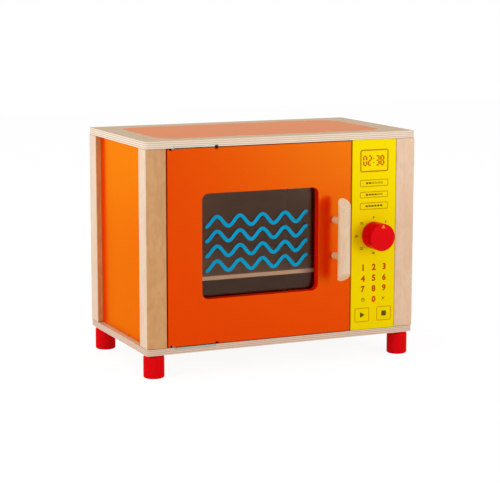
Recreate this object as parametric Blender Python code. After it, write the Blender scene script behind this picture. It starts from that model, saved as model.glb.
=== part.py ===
"""Wooden toy microwave oven, piece by piece at its real size (metres, +Z up).

It stands on its four feet at z = 0, with the origin on the floor under the middle of its outer
box. The front faces -Y. The door hangs on the left and the control panel stands on the right.
"""
import math

import bmesh
import bpy
from mathutils import Matrix, Vector

# Fits
SEAT_GAP = 0.0003
OVERRUN = 0.002

# Cabinet boards and posts
BODY_WIDTH = 0.4205
BODY_DEPTH = 0.235
TOP_BOARD = 0.010
BOTTOM_BOARD = 0.009
BOARD_CORNER = 0.004
BOARD_EASE = 0.0006
POST_HEIGHT = 0.2805
POST_WIDTH = 0.030
POST_DEPTH = 0.0285
POST_EASE = 0.001

# Side and back panels, held in grooves in the posts
PANEL_THICKNESS = 0.006
PANEL_RECESS = 0.0085
GROOVE_DEPTH = 0.005

# Dowels between the posts and the top board
DOWEL_RADIUS = 0.004
DOWEL_IN_POST = 0.020
DOWEL_IN_BOARD = 0.0065
DOWEL_CHAMFER = 0.0008
DOWEL_WALL = 0.0045

# Feet and their screws
FOOT_HEIGHT = 0.034
FOOT_RADIUS = 0.015
FOOT_INSET = 0.016
FOOT_EASE = 0.003
COUNTERBORE_RADIUS = 0.0055
COUNTERBORE_DEPTH = 0.012
FOOT_SCREW_RADIUS = 0.0022
FOOT_SCREW_HEAD = 0.0042
FOOT_SCREW_HEAD_HEIGHT = 0.0028
FOOT_SCREW_LENGTH = 0.050

# Control panel, its partition and its cleat
CONTROL_WIDTH = 0.0716
CONTROL_THICKNESS = 0.009
CONTROL_POST_GAP = 0.0005
PARTITION = 0.009
CLEAT = 0.012
CLEAT_LENGTH = 0.200

# Shelf and its battens
SHELF_THICKNESS = 0.006
SHELF_HEIGHT = 0.094
SHELF_SETBACK = 0.020
SHELF_EASE = 0.0005
BATTEN = 0.012
BATTEN_SETBACK = 0.006

# Door
DOOR_THICKNESS = 0.012
DOOR_HINGE_GAP = 0.0018
DOOR_LATCH_GAP = 0.0022
DOOR_END_GAP = 0.0013
DOOR_CORNER = 0.001
DOOR_EASE = 0.0008
WINDOW_STILE = 0.0518
WINDOW_RAIL = 0.064
WINDOW_CORNER = 0.0095
PANE_THICKNESS = 0.003
PANE_LAP = 0.009
PANE_CORNER = 0.006
PANE_EASE = 0.0004
PANE_SCREW_EDGE = 0.0045

# Pivot hinges
PIVOT_FROM_EDGE = 0.0098
PIVOT_DEPTH = 0.0047
LEAF_THICKNESS = 0.0025
LEAF_REACH = 0.0615
FRAME_LEAF_WIDTH = 0.009
DOOR_LEAF_WIDTH = 0.007
PIN_RADIUS = 0.0015
PIN_COLLAR_RADIUS = 0.003
LEAF_SCREW_SHARES = (0.35, 0.8)
NOTCH_RADIUS = 0.0017
NOTCH_DEPTH = 0.003

# Handle
BAR_RADIUS = 0.009
BAR_LENGTH = 0.1215
BAR_SLANT = 0.016
BAR_STANDOFF = 0.030
BAR_FROM_LATCH_EDGE = 0.0255
PEG_RADIUS = 0.005
PEG_SPACING = 0.052
PEG_SEAT = 0.005

# Knob
KNOB_RADIUS = 0.020
KNOB_LENGTH = 0.028
KNOB_EASE = 0.0015
KNOB_STAND = 0.0006
KNOB_FROM_EDGE = 0.036
SPINDLE_RADIUS = 0.005
SPINDLE_SEAT = 0.017
WASHER_RADIUS = 0.011
WASHER_THICKNESS = 0.0012

# Catch
CATCH_BLOCK_WIDTH = 0.016
CATCH_BLOCK_DEPTH = 0.020
CATCH_BLOCK_HEIGHT = 0.036
MAGNET_RADIUS = 0.004
MAGNET_LENGTH = 0.006
MAGNET_PROUD = 0.0005
STRIKE_WIDTH = 0.012
STRIKE_HEIGHT = 0.026
STRIKE_THICKNESS = 0.0012

# Wood screws
CROWN_SHARE = 0.6
SMALL_SCREW_RADIUS = 0.0013
SMALL_SCREW_HEAD = 0.0027
SMALL_SCREW_HEAD_HEIGHT = 0.0015
HINGE_BOARD_SCREW_LENGTH = 0.0065
HINGE_DOOR_SCREW_LENGTH = 0.014
STRIKE_SCREW_LENGTH = 0.008
PANE_SCREW_LENGTH = 0.010
PANE_SCREW_RADIUS = 0.0014
PANE_SCREW_HEAD = 0.0028
PANE_SCREW_HEAD_HEIGHT = 0.0018
HANDLE_SCREW_RADIUS = 0.0018
HANDLE_SCREW_HEAD = 0.0038
HANDLE_SCREW_HEAD_HEIGHT = 0.0024
HANDLE_SCREW_IN_BAR = 0.008
KNOB_SCREW_RADIUS = 0.0015
KNOB_SCREW_HEAD = 0.0032
KNOB_SCREW_HEAD_HEIGHT = 0.002
KNOB_SCREW_LENGTH = 0.014

# Planes that the pieces share
HANDLE_REACH = BAR_STANDOFF + BAR_RADIUS
LEFT = -BODY_WIDTH / 2
RIGHT = BODY_WIDTH / 2
FRONT = (HANDLE_REACH - BODY_DEPTH) / 2
BACK = FRONT + BODY_DEPTH
INSIDE_LOW = FOOT_HEIGHT + BOTTOM_BOARD
INSIDE_HIGH = INSIDE_LOW + POST_HEIGHT
MIDDLE = (INSIDE_LOW + INSIDE_HIGH) / 2
TOP = INSIDE_HIGH + TOP_BOARD
CONTROL_RIGHT = RIGHT - POST_WIDTH - CONTROL_POST_GAP
CONTROL_LEFT = CONTROL_RIGHT - CONTROL_WIDTH
CONTROL_BACK = FRONT + CONTROL_THICKNESS
PANEL_OUTER = PANEL_RECESS
PANEL_INNER = PANEL_RECESS + PANEL_THICKNESS
BACK_PANEL_FACE = BACK - PANEL_INNER
SHELF_TOP = INSIDE_LOW + SHELF_HEIGHT
SHELF_LOW = SHELF_TOP - SHELF_THICKNESS
DOOR_LEFT = LEFT + POST_WIDTH + DOOR_HINGE_GAP
DOOR_RIGHT = CONTROL_LEFT - DOOR_LATCH_GAP
DOOR_LOW = INSIDE_LOW + DOOR_END_GAP
DOOR_HIGH = INSIDE_HIGH - DOOR_END_GAP
DOOR_BACK = FRONT + DOOR_THICKNESS
WINDOW_LEFT = DOOR_LEFT + WINDOW_STILE
WINDOW_RIGHT = DOOR_RIGHT - WINDOW_STILE
WINDOW_LOW = DOOR_LOW + WINDOW_RAIL
WINDOW_HIGH = DOOR_HIGH - WINDOW_RAIL
PIVOT_X = DOOR_LEFT + PIVOT_FROM_EDGE
PIVOT_Y = FRONT + PIVOT_DEPTH
PANE_FRONT = DOOR_BACK + SEAT_GAP
PANE_BACK = PANE_FRONT + PANE_THICKNESS
BAR_X = DOOR_RIGHT - BAR_FROM_LATCH_EDGE
BAR_Y = FRONT - BAR_STANDOFF
KNOB_X = CONTROL_LEFT + KNOB_FROM_EDGE

# Finishes: sRGB colour, roughness, metallic
BIRCH_PLY = ("E3CBA8", 0.55, 0.0)
BEECH = ("E6CDA9", 0.5, 0.0)
ORANGE_LACQUER = ("EE6A0E", 0.3, 0.0)
YELLOW_LACQUER = ("F6DA05", 0.35, 0.0)
RED_LACQUER = ("D40A10", 0.3, 0.0)
SMOKED_ACRYLIC = ("4A3A33", 0.1, 0.0)
NYLON = ("D8D4CA", 0.45, 0.0)
ZINC_STEEL = ("B9C0C4", 0.35, 1.0)
MAGNET_NICKEL = ("9A9C9E", 0.25, 1.0)


def linear(code):
    """One sRGB hex colour as linear red, green, blue and full alpha."""
    channels = [int(code[i:i + 2], 16) / 255 for i in (0, 2, 4)]
    return [c / 12.92 if c <= 0.04045 else ((c + 0.055) / 1.055) ** 2.4 for c in channels] + [1]


def paint(part, finish):
    code, roughness, metallic = finish
    material = bpy.data.materials.new(part.name)
    material.use_nodes = True
    shader = material.node_tree.nodes["Principled BSDF"]
    shader.inputs["Base Color"].default_value = linear(code)
    shader.inputs["Roughness"].default_value = roughness
    shader.inputs["Metallic"].default_value = metallic
    material.diffuse_color = linear(code)
    part.data.materials.append(material)


def new_part(name, bm, finish, parent=None):
    """Make an object of a mesh built in place; its origin is its middle, or its joint's axis."""
    bmesh.ops.recalc_face_normals(bm, faces=bm.faces)
    low = Vector([min(vertex.co[axis] for vertex in bm.verts) for axis in range(3)])
    high = Vector([max(vertex.co[axis] for vertex in bm.verts) for axis in range(3)])
    origin = parent.location.copy() if parent else (low + high) / 2
    bmesh.ops.translate(bm, verts=bm.verts, vec=-origin)
    mesh = bpy.data.meshes.new(name)
    bm.to_mesh(mesh)
    bm.free()
    mesh.shade_smooth()
    mesh.set_sharp_from_angle(angle=math.radians(30))
    part = bpy.data.objects.new(name, mesh)
    bpy.context.scene.collection.objects.link(part)
    if parent:
        part.parent = parent
    else:
        part.location = origin
    if finish:
        paint(part, finish)
    return part


def cut(part, name, bm, parent=None):
    """Cut the shape in bm out of the part, with a hidden wire tool that stays beside it."""
    tool = new_part(name, bm, None, parent)
    tool.hide_render = True
    tool.display_type = "WIRE"
    boolean = part.modifiers.new(name, "BOOLEAN")
    boolean.operation = "DIFFERENCE"
    boolean.solver = "EXACT"
    boolean.object = tool


def ease(part, width, segments=2):
    """Round the part's sharp edges a little."""
    bevel = part.modifiers.new("eased edges", "BEVEL")
    bevel.width = width
    bevel.segments = segments
    bevel.limit_method = "ANGLE"
    bevel.angle_limit = math.radians(40)


def block(low, high):
    """A box between two opposite corners."""
    bm = bmesh.new()
    middle = (Vector(low) + Vector(high)) / 2
    size = Vector(high) - Vector(low)
    bmesh.ops.create_cube(bm, size=1, matrix=Matrix.Translation(middle) @ Matrix.Diagonal(size).to_4x4())
    return bm


def round_rectangle(low, high, radius, steps=5):
    """Points of a rectangle with round corners, anticlockwise."""
    points = []
    turns = ((high[0] - radius, high[1] - radius), (low[0] + radius, high[1] - radius),
             (low[0] + radius, low[1] + radius), (high[0] - radius, low[1] + radius))
    for quarter, (x, y) in enumerate(turns):
        for step in range(steps + 1):
            angle = (quarter + step / steps) * math.pi / 2
            points.append((x + radius * math.cos(angle), y + radius * math.sin(angle)))
    return points


def plate(outlines, near, far, upright=False):
    """Extrude a closed outline, and any hole after it, in z, or in y where it stands upright."""
    bm = bmesh.new()
    edges = []
    for outline in outlines:
        corners = [bm.verts.new((u, near, v) if upright else (u, v, near)) for u, v in outline]
        edges += [bm.edges.new((corners[i - 1], corners[i])) for i in range(len(corners))]
    bmesh.ops.triangle_fill(bm, use_beauty=True, use_dissolve=False, edges=edges)
    grown = bmesh.ops.extrude_face_region(bm, geom=bm.faces[:])["geom"]
    shift = Vector((0, far - near, 0) if upright else (0, 0, far - near))
    moved = [item for item in grown if isinstance(item, bmesh.types.BMVert)]
    bmesh.ops.translate(bm, verts=moved, vec=shift)
    return bm


def turn(profile, start, direction, segments=24, bm=None):
    """Turn (radius, height) points about an axis. A profile with no point on the axis is a ring."""
    bm = bm or bmesh.new()
    spin = Vector((0, 0, 1)).rotation_difference(Vector(direction)).to_matrix()
    rings = []
    for radius, height in profile:
        count = segments if radius else 1
        ring = []
        for step in range(count):
            angle = 2 * math.pi * step / segments
            point = Vector((radius * math.cos(angle), radius * math.sin(angle), height))
            ring.append(bm.verts.new(Vector(start) + spin @ point))
        rings.append(ring)
    follow = rings[1:] if len(rings[0]) == 1 else rings[1:] + rings[:1]
    for ring, after in zip(rings, follow):
        for step in range(segments):
            corners = [ring[step % len(ring)], ring[(step + 1) % segments % len(ring)],
                       after[(step + 1) % segments % len(after)], after[step % len(after)]]
            bm.faces.new(list(dict.fromkeys(corners)))
    return bm


def bore(radius, start, direction, length, segments=16, bm=None):
    """A plain cylinder that runs past its start by the overrun, for cutting a hole."""
    return turn([(0, -OVERRUN), (radius, -OVERRUN), (radius, length), (0, length)],
                start, direction, segments, bm)


def round_head_screw(seat, direction, radius, head, head_height, length):
    """A screw with a low round head that stands on its seat."""
    profile = [(0, -head_height), (head * CROWN_SHARE, -head_height), (head, -head_height / 2), (head, 0),
               (radius, 0), (radius, length - radius), (0, length)]
    return turn(profile, seat, direction, 12)


def small_screws(seats, direction, length, grow=0):
    """Small countersunk screws, flush with their seats, or their holes, grown by a gap."""
    radius, head = SMALL_SCREW_RADIUS + grow, SMALL_SCREW_HEAD + grow
    profile = [(0, 0), (head, 0), (radius, SMALL_SCREW_HEAD_HEIGHT), (radius, length - radius),
               (0, length + grow)]
    if grow:
        profile[:1] = [(0, -OVERRUN), (head, -OVERRUN)]
    bm = bmesh.new()
    for seat in seats:
        turn(profile, seat, direction, 12, bm)
    return bm


def rim(radius, low, high, width, steps=2):
    """Profile points round a turned piece's outside, with both its corners eased."""
    points = []
    for step in range(steps + 1):
        angle = step / steps * math.pi / 2
        points.append((radius - width + width * math.sin(angle), low + width - width * math.cos(angle)))
    return points + [(r, low + high - z) for r, z in reversed(points)]


def panel_grooves(post, name, left, front):
    """Plough a post's groove for its side panel, and a back post's groove for the back panel."""
    outer = LEFT if left else RIGHT
    inward = 1 if left else -1
    edges = sorted((outer + inward * (PANEL_OUTER - SEAT_GAP), outer + inward * (PANEL_INNER + SEAT_GAP)))
    inner_face = FRONT + POST_DEPTH if front else BACK - POST_DEPTH
    sides = sorted((inner_face - GROOVE_DEPTH, inner_face + OVERRUN) if front
                   else (inner_face - OVERRUN, inner_face + GROOVE_DEPTH))
    low, high = INSIDE_LOW - OVERRUN, INSIDE_HIGH + OVERRUN
    cut(post, "cut_side_groove_" + name, block((edges[0], sides[0], low), (edges[1], sides[1], high)))
    if front:
        return
    bottom = outer + inward * (POST_WIDTH - GROOVE_DEPTH)
    mouth = outer + inward * (POST_WIDTH + OVERRUN)
    edges = sorted((bottom, mouth))
    sides = (BACK - PANEL_INNER - SEAT_GAP, BACK - PANEL_OUTER + SEAT_GAP)
    cut(post, "cut_back_groove_" + name, block((edges[0], sides[0], low), (edges[1], sides[1], high)))


def corner_place(left, front, inset):
    """A point in plan, the same inset from both outer faces at one corner of the cabinet."""
    return (LEFT + inset if left else RIGHT - inset), (FRONT + inset if front else BACK - inset)


CORNERS = [(left, front) for front in (True, False) for left in (True, False)]
DOWEL_INSET = DOWEL_WALL + DOWEL_RADIUS


def corner_name(left, front):
    return ("front" if front else "back") + "_" + ("left" if left else "right")


def dowel_bores(corners):
    """Holes for the dowels between the posts' top ends and the top board."""
    bm = bmesh.new()
    hole = DOWEL_RADIUS + SEAT_GAP
    low = -DOWEL_IN_POST - SEAT_GAP
    high = DOWEL_IN_BOARD + SEAT_GAP
    for left, front in corners:
        x, y = corner_place(left, front, DOWEL_INSET)
        turn([(0, low), (hole, low), (hole, high), (0, high)], (x, y, INSIDE_HIGH), (0, 0, 1), 20, bm)
    return bm


def foot_screw_bores(corners):
    """Clearance holes for the foot screws, from below the bottom board up into the posts."""
    bm = bmesh.new()
    start = COUNTERBORE_DEPTH
    length = FOOT_SCREW_LENGTH + SEAT_GAP
    for left, front in corners:
        x, y = corner_place(left, front, FOOT_INSET)
        bore(FOOT_SCREW_RADIUS + SEAT_GAP, (x, y, start), (0, 0, 1), length, 16, bm)
    return bm


def make_post(left, front):
    """A square post, eased along its edges, dowelled to both boards and screwed to its foot."""
    name = corner_name(left, front)
    x = LEFT if left else RIGHT - POST_WIDTH
    y = FRONT if front else BACK - POST_DEPTH
    low = (x, y, INSIDE_LOW + SEAT_GAP)
    high = (x + POST_WIDTH, y + POST_DEPTH, INSIDE_HIGH - SEAT_GAP)
    post = new_part("post_" + name, block(low, high), BEECH)
    ease(post, POST_EASE)
    panel_grooves(post, name, left, front)
    cut(post, "cut_dowel_" + name, dowel_bores([(left, front)]))
    cut(post, "cut_foot_screw_" + name, foot_screw_bores([(left, front)]))


def make_dowel(left, front):
    x, y = corner_place(left, front, DOWEL_INSET)
    tip = DOWEL_RADIUS - DOWEL_CHAMFER
    profile = [(0, -DOWEL_IN_POST), (tip, -DOWEL_IN_POST), (DOWEL_RADIUS, DOWEL_CHAMFER - DOWEL_IN_POST),
               (DOWEL_RADIUS, DOWEL_IN_BOARD - DOWEL_CHAMFER), (tip, DOWEL_IN_BOARD), (0, DOWEL_IN_BOARD)]
    dowel = turn(profile, (x, y, INSIDE_HIGH), (0, 0, 1), 16)
    new_part("dowel_" + corner_name(left, front), dowel, BEECH)


def make_foot(left, front):
    """A turned foot with eased rims, and the screw in its counterbore that goes up into the post."""
    name = corner_name(left, front)
    x, y = corner_place(left, front, FOOT_INSET)
    screw_hole = FOOT_SCREW_RADIUS + SEAT_GAP
    profile = rim(FOOT_RADIUS, 0, FOOT_HEIGHT - SEAT_GAP, FOOT_EASE)
    profile += [(screw_hole, FOOT_HEIGHT - SEAT_GAP), (screw_hole, COUNTERBORE_DEPTH),
                (COUNTERBORE_RADIUS, COUNTERBORE_DEPTH), (COUNTERBORE_RADIUS, 0)]
    new_part("foot_" + name, turn(profile, (x, y, 0), (0, 0, 1), 24), RED_LACQUER)
    seat = (x, y, COUNTERBORE_DEPTH - SEAT_GAP)
    screw = round_head_screw(seat, (0, 0, 1), FOOT_SCREW_RADIUS, FOOT_SCREW_HEAD, FOOT_SCREW_HEAD_HEIGHT,
                             FOOT_SCREW_LENGTH)
    new_part("foot_screw_" + name, screw, ZINC_STEEL)


def leaf_outline(width):
    """A hinge leaf in plan: round about the pivot, square at the far end."""
    points = [(PIVOT_X + LEAF_REACH, PIVOT_Y - width / 2), (PIVOT_X + LEAF_REACH, PIVOT_Y + width / 2)]
    for step in range(9):
        angle = math.pi / 2 + step / 8 * math.pi
        points.append((PIVOT_X + width / 2 * math.cos(angle), PIVOT_Y + width / 2 * math.sin(angle)))
    return points


def leaf_screw_seats(height):
    return [(PIVOT_X + LEAF_REACH * share, PIVOT_Y, height) for share in LEAF_SCREW_SHARES]


def frame_screw_holes(end):
    face = INSIDE_HIGH if end > 0 else INSIDE_LOW
    return small_screws(leaf_screw_seats(face), (0, 0, end), HINGE_BOARD_SCREW_LENGTH, SEAT_GAP)


def door_screw_holes(end):
    edge = DOOR_HIGH if end > 0 else DOOR_LOW
    return small_screws(leaf_screw_seats(edge), (0, 0, -end), HINGE_DOOR_SCREW_LENGTH, SEAT_GAP)


def mortise(width, face, into, open_front):
    """The pocket for a leaf in the face at that height, cut the way that into points."""
    depth = LEAF_THICKNESS + SEAT_GAP
    heights = sorted((face - into * OVERRUN, face + into * depth))
    left = PIVOT_X - width / 2 - SEAT_GAP
    right = PIVOT_X + LEAF_REACH + SEAT_GAP
    front = FRONT - OVERRUN if open_front else PIVOT_Y - width / 2 - SEAT_GAP
    back = PIVOT_Y + width / 2 + SEAT_GAP
    return block((left, front, heights[0]), (right, back, heights[1]))


def notch(x, height):
    """Where the router that cut a mortise broke out at the front."""
    return bore(NOTCH_RADIUS, (x, FRONT, height), (0, 1, 0), NOTCH_DEPTH, 12)


def make_leaf(name, width, near, far, holes, parent=None):
    leaf = new_part(name, plate([leaf_outline(width)], min(near, far), max(near, far)), ZINC_STEEL, parent)
    cut(leaf, "cut_screws_" + name, holes, parent)
    pivot = bore(PIN_RADIUS + SEAT_GAP, (PIVOT_X, PIVOT_Y, min(near, far)), (0, 0, 1),
                 LEAF_THICKNESS + OVERRUN, 16)
    cut(leaf, "cut_pin_" + name, pivot, parent)
    return leaf


def make_hinge(end, door_axis):
    """One pivot hinge: a leaf in the board, a leaf in the door's edge, and a shouldered pin between."""
    where = "top" if end > 0 else "bottom"
    face = INSIDE_HIGH if end > 0 else INSIDE_LOW
    edge = DOOR_HIGH if end > 0 else DOOR_LOW
    make_leaf("hinge_frame_leaf_" + where, FRAME_LEAF_WIDTH, face, face + end * LEAF_THICKNESS,
              frame_screw_holes(end))
    make_leaf("hinge_door_leaf_" + where, DOOR_LEAF_WIDTH, edge, edge - end * LEAF_THICKNESS,
              door_screw_holes(end), door_axis)
    in_leaf = LEAF_THICKNESS - SEAT_GAP
    collar_end = LEAF_THICKNESS + DOOR_END_GAP - 2 * SEAT_GAP
    profile = [(0, 0), (PIN_RADIUS, 0), (PIN_RADIUS, LEAF_THICKNESS), (PIN_COLLAR_RADIUS, LEAF_THICKNESS),
               (PIN_COLLAR_RADIUS, collar_end), (PIN_RADIUS, collar_end),
               (PIN_RADIUS, 2 * in_leaf + DOOR_END_GAP), (0, 2 * in_leaf + DOOR_END_GAP)]
    pin = turn(profile, (PIVOT_X, PIVOT_Y, edge - end * in_leaf), (0, 0, end), 16)
    new_part("hinge_pin_" + where, pin, ZINC_STEEL)
    for number, seat in enumerate(leaf_screw_seats(face), 1):
        screw = small_screws([seat], (0, 0, end), HINGE_BOARD_SCREW_LENGTH)
        new_part(f"hinge_frame_screw_{where}_{number}", screw, ZINC_STEEL)
    for number, seat in enumerate(leaf_screw_seats(edge), 1):
        screw = small_screws([seat], (0, 0, -end), HINGE_DOOR_SCREW_LENGTH)
        new_part(f"hinge_door_screw_{where}_{number}", screw, ZINC_STEEL, door_axis)


def make_boards():
    """The top and bottom boards, with their hinge mortises and the holes for dowels and screws."""
    outline = round_rectangle((LEFT, FRONT), (RIGHT, BACK), BOARD_CORNER)
    top = new_part("top_board", plate([outline], INSIDE_HIGH, TOP), BIRCH_PLY)
    bottom = new_part("bottom_board", plate([outline], FOOT_HEIGHT, INSIDE_LOW), BIRCH_PLY)
    for board, face, end, where in ((top, INSIDE_HIGH, 1, "top"), (bottom, INSIDE_LOW, -1, "bottom")):
        ease(board, BOARD_EASE)
        cut(board, "cut_mortise_" + where, mortise(FRAME_LEAF_WIDTH, face, end, True))
        cut(board, "cut_frame_screws_" + where, frame_screw_holes(end))
    cut(top, "cut_dowels", dowel_bores(CORNERS))
    cut(top, "cut_notch_board", notch(PIVOT_X + LEAF_REACH, INSIDE_HIGH))
    cut(bottom, "cut_foot_screws", foot_screw_bores(CORNERS))


def make_panels():
    """The painted side and back panels, their edges in the posts' grooves."""
    low, high = INSIDE_LOW + SEAT_GAP, INSIDE_HIGH - SEAT_GAP
    reach = POST_DEPTH - GROOVE_DEPTH + SEAT_GAP
    for name, x in (("side_panel_left", LEFT + PANEL_OUTER), ("side_panel_right", RIGHT - PANEL_INNER)):
        side = block((x, FRONT + reach, low), (x + PANEL_THICKNESS, BACK - reach, high))
        new_part(name, side, ORANGE_LACQUER)
    reach = POST_WIDTH - GROOVE_DEPTH + SEAT_GAP
    back = block((LEFT + reach, BACK - PANEL_INNER, low), (RIGHT - reach, BACK - PANEL_OUTER, high))
    new_part("back_panel", back, ORANGE_LACQUER)


def make_partition():
    """The upright board between the oven and the space behind the control panel."""
    wall = block((CONTROL_LEFT, CONTROL_BACK + SEAT_GAP, INSIDE_LOW + SEAT_GAP),
                 (CONTROL_LEFT + PARTITION, BACK_PANEL_FACE - SEAT_GAP, INSIDE_HIGH - SEAT_GAP))
    new_part("partition", wall, BIRCH_PLY)


SHELF_LEFT = LEFT + PANEL_INNER + SEAT_GAP
SHELF_RIGHT = CONTROL_LEFT - SEAT_GAP
LEFT_BATTEN_ENDS = (FRONT + POST_DEPTH + SEAT_GAP, BACK - POST_DEPTH - SEAT_GAP)
RIGHT_BATTEN_ENDS = (FRONT + SHELF_SETBACK + BATTEN_SETBACK, BACK_PANEL_FACE - BATTEN_SETBACK)
BATTEN_HIGH = SHELF_LOW - SEAT_GAP
BATTEN_LOW = BATTEN_HIGH - BATTEN


def make_shelf():
    """A thin shelf, notched round the left posts, on a batten at each side."""
    post_side = LEFT + POST_WIDTH + SEAT_GAP
    front, back = FRONT + SHELF_SETBACK, BACK_PANEL_FACE - SEAT_GAP
    outline = [(SHELF_RIGHT, front), (SHELF_RIGHT, back), (post_side, back), (post_side, LEFT_BATTEN_ENDS[1]),
               (SHELF_LEFT, LEFT_BATTEN_ENDS[1]), (SHELF_LEFT, LEFT_BATTEN_ENDS[0]),
               (post_side, LEFT_BATTEN_ENDS[0]), (post_side, front)]
    shelf = new_part("shelf", plate([outline], SHELF_LOW, SHELF_TOP), BIRCH_PLY)
    ease(shelf, SHELF_EASE)
    places = (("left", SHELF_LEFT, LEFT_BATTEN_ENDS), ("right", SHELF_RIGHT - BATTEN, RIGHT_BATTEN_ENDS))
    for side, x, ends in places:
        stick = block((x, ends[0], BATTEN_LOW), (x + BATTEN, ends[1], BATTEN_HIGH))
        batten = new_part("shelf_batten_" + side, stick, BEECH)
        ease(batten, SHELF_EASE)


def make_control_panel():
    """The printed panel beside the door, and the cleat that backs its outer edge."""
    board = block((CONTROL_LEFT, FRONT, INSIDE_LOW + SEAT_GAP),
                  (CONTROL_RIGHT, CONTROL_BACK, INSIDE_HIGH - SEAT_GAP))
    panel = new_part("control_panel", board, YELLOW_LACQUER)
    ease(panel, BOARD_EASE)
    hole = bore(SPINDLE_RADIUS + SEAT_GAP, (KNOB_X, FRONT, MIDDLE), (0, 1, 0), CONTROL_THICKNESS + OVERRUN, 24)
    cut(panel, "cut_spindle", hole)
    x = RIGHT - POST_WIDTH - SEAT_GAP
    y = CONTROL_BACK + SEAT_GAP
    stick = block((x - CLEAT, y, MIDDLE - CLEAT_LENGTH / 2), (x, y + CLEAT, MIDDLE + CLEAT_LENGTH / 2))
    ease(new_part("panel_cleat", stick, BEECH), SHELF_EASE)


PANE_LEFT = WINDOW_LEFT - PANE_LAP
PANE_RIGHT = WINDOW_RIGHT + PANE_LAP
PANE_LOW = WINDOW_LOW - PANE_LAP
PANE_HIGH = WINDOW_HIGH + PANE_LAP
PEG_HEIGHTS = (MIDDLE - PEG_SPACING / 2, MIDDLE + PEG_SPACING / 2)
BAR_BACK = BAR_Y + BAR_RADIUS


PANE_SCREW_PLACES = [(x, z) for z in (PANE_LOW + PANE_SCREW_EDGE, PANE_HIGH - PANE_SCREW_EDGE)
                     for x in (PANE_LEFT + PANE_SCREW_EDGE, PANE_RIGHT - PANE_SCREW_EDGE)]


def pane_screw_bores(start, length):
    bm = bmesh.new()
    for x, z in PANE_SCREW_PLACES:
        bore(PANE_SCREW_RADIUS + SEAT_GAP, (x, start, z), (0, -1, 0), length, 12, bm)
    return bm


def peg_holes(start, direction, length):
    """Stepped holes: a socket for each handle peg, and its screw's hole on past the socket's floor."""
    socket, screw_hole = PEG_RADIUS + SEAT_GAP, HANDLE_SCREW_RADIUS + SEAT_GAP
    profile = [(0, -OVERRUN), (socket, -OVERRUN), (socket, PEG_SEAT), (screw_hole, PEG_SEAT),
               (screw_hole, length), (0, length)]
    bm = bmesh.new()
    for z in PEG_HEIGHTS:
        turn(profile, (BAR_X, start, z), direction, 24, bm)
    return bm


def make_door(door_axis):
    """The door board: window cut out, hinge leaves let into its ends, handle pegs into its face."""
    outline = round_rectangle((DOOR_LEFT, DOOR_LOW), (DOOR_RIGHT, DOOR_HIGH), DOOR_CORNER, 3)
    window = round_rectangle((WINDOW_LEFT, WINDOW_LOW), (WINDOW_RIGHT, WINDOW_HIGH), WINDOW_CORNER)
    door = new_part("door_panel", plate([outline, window], FRONT, DOOR_BACK, True), ORANGE_LACQUER, door_axis)
    ease(door, DOOR_EASE)
    for end, edge, where in ((1, DOOR_HIGH, "top"), (-1, DOOR_LOW, "bottom")):
        cut(door, "cut_leaf_" + where, mortise(DOOR_LEAF_WIDTH, edge, -end, False), door_axis)
        cut(door, "cut_leaf_screws_" + where, door_screw_holes(end), door_axis)
        cut(door, "cut_pivot_notch_" + where, notch(PIVOT_X - DOOR_LEAF_WIDTH / 2, edge), door_axis)
        cut(door, "cut_far_notch_" + where, notch(PIVOT_X + LEAF_REACH, edge), door_axis)
    cut(door, "cut_peg_holes", peg_holes(FRONT, (0, 1, 0), DOOR_THICKNESS + OVERRUN), door_axis)
    cut(door, "cut_pane_screws", pane_screw_bores(DOOR_BACK, PANE_SCREW_LENGTH - PANE_THICKNESS), door_axis)
    cut(door, "cut_strike_screw", strike_screw(SEAT_GAP), door_axis)


def make_pane(door_axis):
    """The smoked pane, screwed to the back of the door."""
    outline = round_rectangle((PANE_LEFT, PANE_LOW), (PANE_RIGHT, PANE_HIGH), PANE_CORNER)
    pane = new_part("window_pane", plate([outline], PANE_FRONT, PANE_BACK, True), SMOKED_ACRYLIC, door_axis)
    ease(pane, PANE_EASE, 1)
    holes = pane_screw_bores(PANE_BACK, PANE_THICKNESS + OVERRUN)
    cut(pane, "cut_pane_holes", holes, door_axis)
    for number, (x, z) in enumerate(PANE_SCREW_PLACES, 1):
        screw = round_head_screw((x, PANE_BACK + SEAT_GAP, z), (0, -1, 0), PANE_SCREW_RADIUS,
                                 PANE_SCREW_HEAD, PANE_SCREW_HEAD_HEIGHT, PANE_SCREW_LENGTH)
        new_part(f"pane_screw_{number}", screw, ZINC_STEEL, door_axis)


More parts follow.
